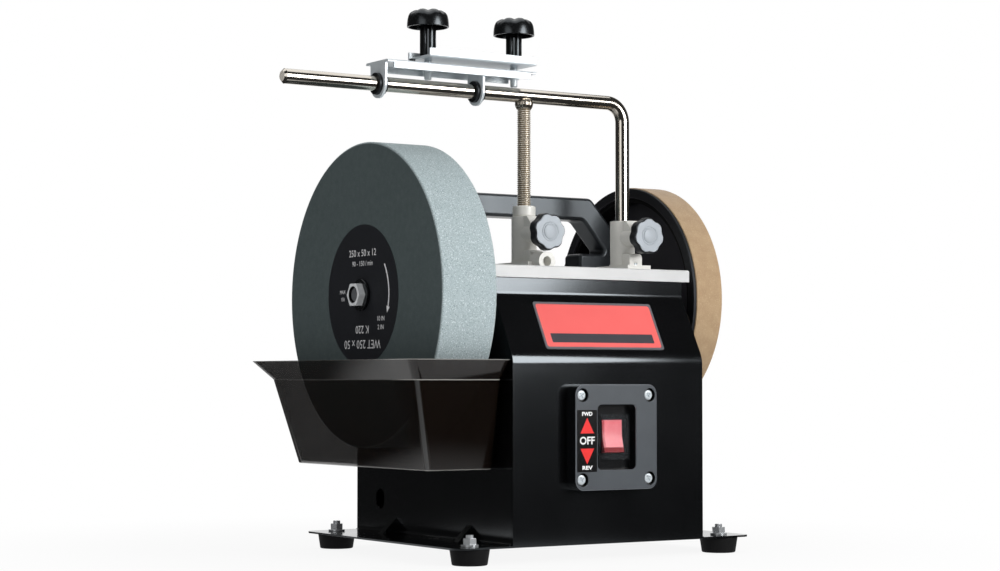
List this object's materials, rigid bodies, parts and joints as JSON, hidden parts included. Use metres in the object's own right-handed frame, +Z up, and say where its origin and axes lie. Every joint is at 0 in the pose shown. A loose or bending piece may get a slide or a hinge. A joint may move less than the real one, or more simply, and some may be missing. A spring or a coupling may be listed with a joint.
{
  "type": "wet sharpening machine",
  "caption": "Bench wet sharpener: slow grinding stone in a water trough, leather honing wheel, sheet steel motor housing, height-adjustable tool bar with a clamping jig, and a carry handle.",
  "frame": {"origin": "on the bench plane under the middle of the overall bounding box", "axes": "+X along the axle from the grinding stone to the honing wheel, +Y to the rear, +Z up"},
  "size_m": [0.4084, 0.2764, 0.4474],
  "materials": {
    "housing_paint": "glossy black powder coat",
    "plate_aluminium": "brushed",
    "sleeve_casting": "satin casting",
    "bar_steel": "bright plated",
    "thread_steel": "bright plated thread",
    "zinc_steel": "bright zinc",
    "knob_plastic": "satin grey",
    "black_plastic": "satin black",
    "handle_plastic": "fine texture",
    "stone_grit": "fine aluminium oxide grit",
    "stone_label_print": "matt black print",
    "badge_print": "red film",
    "leather_tan": "rough side out",
    "rubber_black": "matt",
    "trough_plastic": "smoked translucent",
    "switch_plastic": "fine texture",
    "rocker_red": "glossy",
    "cover_clear": "clear soft plastic",
    "switch_label_print": "film print",
    "motor_aluminium": "as cast",
    "lamination_steel": "stacked sheet",
    "bearing_bronze": "machined"
  },
  "bodies": {
    "chassis": {"left_side_panel": "housing_paint", "right_side_panel": "housing_paint", "front_panel": "housing_paint", "rear_panel": "housing_paint", "bottom_plate": "housing_paint", "trough_hanger": "housing_paint", "top_plate": "plate_aluminium", "left_sleeve": "sleeve_casting", "right_sleeve": "sleeve_casting", "panel_screws": "zinc_steel", "top_plate_screws": "zinc_steel", "plate_screws": "zinc_steel", "foot_screws": "zinc_steel", "foot_nuts": "zinc_steel", "switch_screws": "zinc_steel", "motor_screws": "zinc_steel", "motor_bracket": "zinc_steel", "carry_handle": "handle_plastic", "badge_plate": "badge_print", "foot_front_left": "rubber_black", "foot_front_right": "rubber_black", "foot_rear_left": "rubber_black", "foot_rear_right": "rubber_black", "cable_gland": "rubber_black", "switch_box": "switch_plastic", "switch_body": "switch_plastic", "splash_cover": "cover_clear", "switch_label": "switch_label_print", "motor_shell": "motor_aluminium", "motor_end_caps": "motor_aluminium", "capacitor": "motor_aluminium", "motor_stator": "lamination_steel", "axle_bearings": "bearing_bronze"},
    "axle": {"main_axle": "zinc_steel", "grinding_stone": "stone_grit", "stone_label": "stone_label_print", "stone_collar": "black_plastic", "stone_nut": "zinc_steel", "stone_flange": "zinc_steel", "honing_drum": "black_plastic", "leather_band": "leather_tan", "friction_ring": "rubber_black", "honing_nut": "zinc_steel"},
    "rotor": {"motor_rotor": "lamination_steel", "motor_shaft": "zinc_steel"},
    "bar": {"support_bar": "bar_steel", "threaded_leg": "thread_steel"},
    "height_nut": {"height_nut": "sleeve_casting"},
    "left_knob": {"left_lock_knob": "knob_plastic"},
    "right_knob": {"right_lock_knob": "knob_plastic"},
    "rocker": {"switch_rocker": "rocker_red"},
    "trough": {"water_trough": "trough_plastic"},
    "jig_slider": {"jig_bushes": "black_plastic"},
    "jig": {"jig_base": "zinc_steel", "jig_stop_pin": "black_plastic"},
    "jig_clamp": {"jig_clamp_bar": "zinc_steel"},
    "clamp_knob_left": {"jig_knob_left": "black_plastic", "jig_screw_left": "zinc_steel"},
    "clamp_knob_right": {"jig_knob_right": "black_plastic", "jig_screw_right": "zinc_steel"}
  },
  "joints": [
    {"name": "axle_spin", "type": "hinge", "parent": "chassis", "child": "axle", "pos_m": [-0.07825, 0.00315, 0.2135], "axis": [1, 0, 0], "continuous": true},
    {"name": "rotor_spin", "type": "hinge", "parent": "chassis", "child": "rotor", "pos_m": [0.02875, 0.02378, 0.13652], "axis": [1, 0, 0], "continuous": true},
    {"name": "height_nut_turn", "type": "hinge", "parent": "chassis", "child": "height_nut", "pos_m": [0.02175, -0.04685, 0.2794], "axis": [0, 0, 1], "range_deg": [-6172.43, 5143.86]},
    {"name": "bar_lift", "type": "slide", "parent": "chassis", "child": "bar", "axis": [0, 0, 1], "range_m": [-0.025, 0.03]},
    {"name": "left_knob_turn", "type": "hinge", "parent": "chassis", "child": "left_knob", "pos_m": [0.02175, -0.08515, 0.265], "axis": [0, 1, 0], "range_deg": [-360, 100]},
    {"name": "right_knob_turn", "type": "hinge", "parent": "chassis", "child": "right_knob", "pos_m": [0.12275, -0.08515, 0.265], "axis": [0, 1, 0], "range_deg": [-360, 100]},
    {"name": "rocker_tilt", "type": "hinge", "parent": "chassis", "child": "rocker", "pos_m": [0.05045, -0.12735, 0.0985], "axis": [1, 0, 0], "range_deg": [0, 16]},
    {"name": "trough_lift", "type": "slide", "parent": "chassis", "child": "trough", "axis": [0, 0, 1], "range_m": [0, 0.008]},
    {"name": "jig_slide", "type": "slide", "parent": "bar", "child": "jig_slider", "axis": [1, 0, 0], "range_m": [-0.07, 0.03]},
    {"name": "jig_tilt", "type": "hinge", "parent": "jig_slider", "child": "jig", "pos_m": [-0.11825, -0.04685, 0.38], "axis": [1, 0, 0], "range_deg": [-45, 45]},
    {"name": "clamp_lift", "type": "slide", "parent": "jig", "child": "jig_clamp", "axis": [0, 0, 1], "range_m": [-0.0045, 0.006]},
    {"name": "clamp_knob_left_turn", "type": "hinge", "parent": "jig_clamp", "child": "clamp_knob_left", "pos_m": [-0.06555, -0.03685, 0.4054], "axis": [0, 0, 1], "range_deg": [-1621, 2161]},
    {"name": "clamp_knob_right_turn", "type": "hinge", "parent": "jig_clamp", "child": "clamp_knob_right", "pos_m": [0.01825, -0.03685, 0.4054], "axis": [0, 0, 1], "range_deg": [-1621, 2161]}
  ],
  "couplings": [
    {"joint": "rotor_spin", "follows": "axle_spin", "ratio": 12.429},
    {"joint": "height_nut_turn", "follows": "bar_lift", "rad_per_m": -3590.4},
    {"joint": "clamp_knob_left_turn", "follows": "clamp_lift", "rad_per_m": 6283.2},
    {"joint": "clamp_knob_right_turn", "follows": "clamp_lift", "rad_per_m": 6283.2}
  ]
}
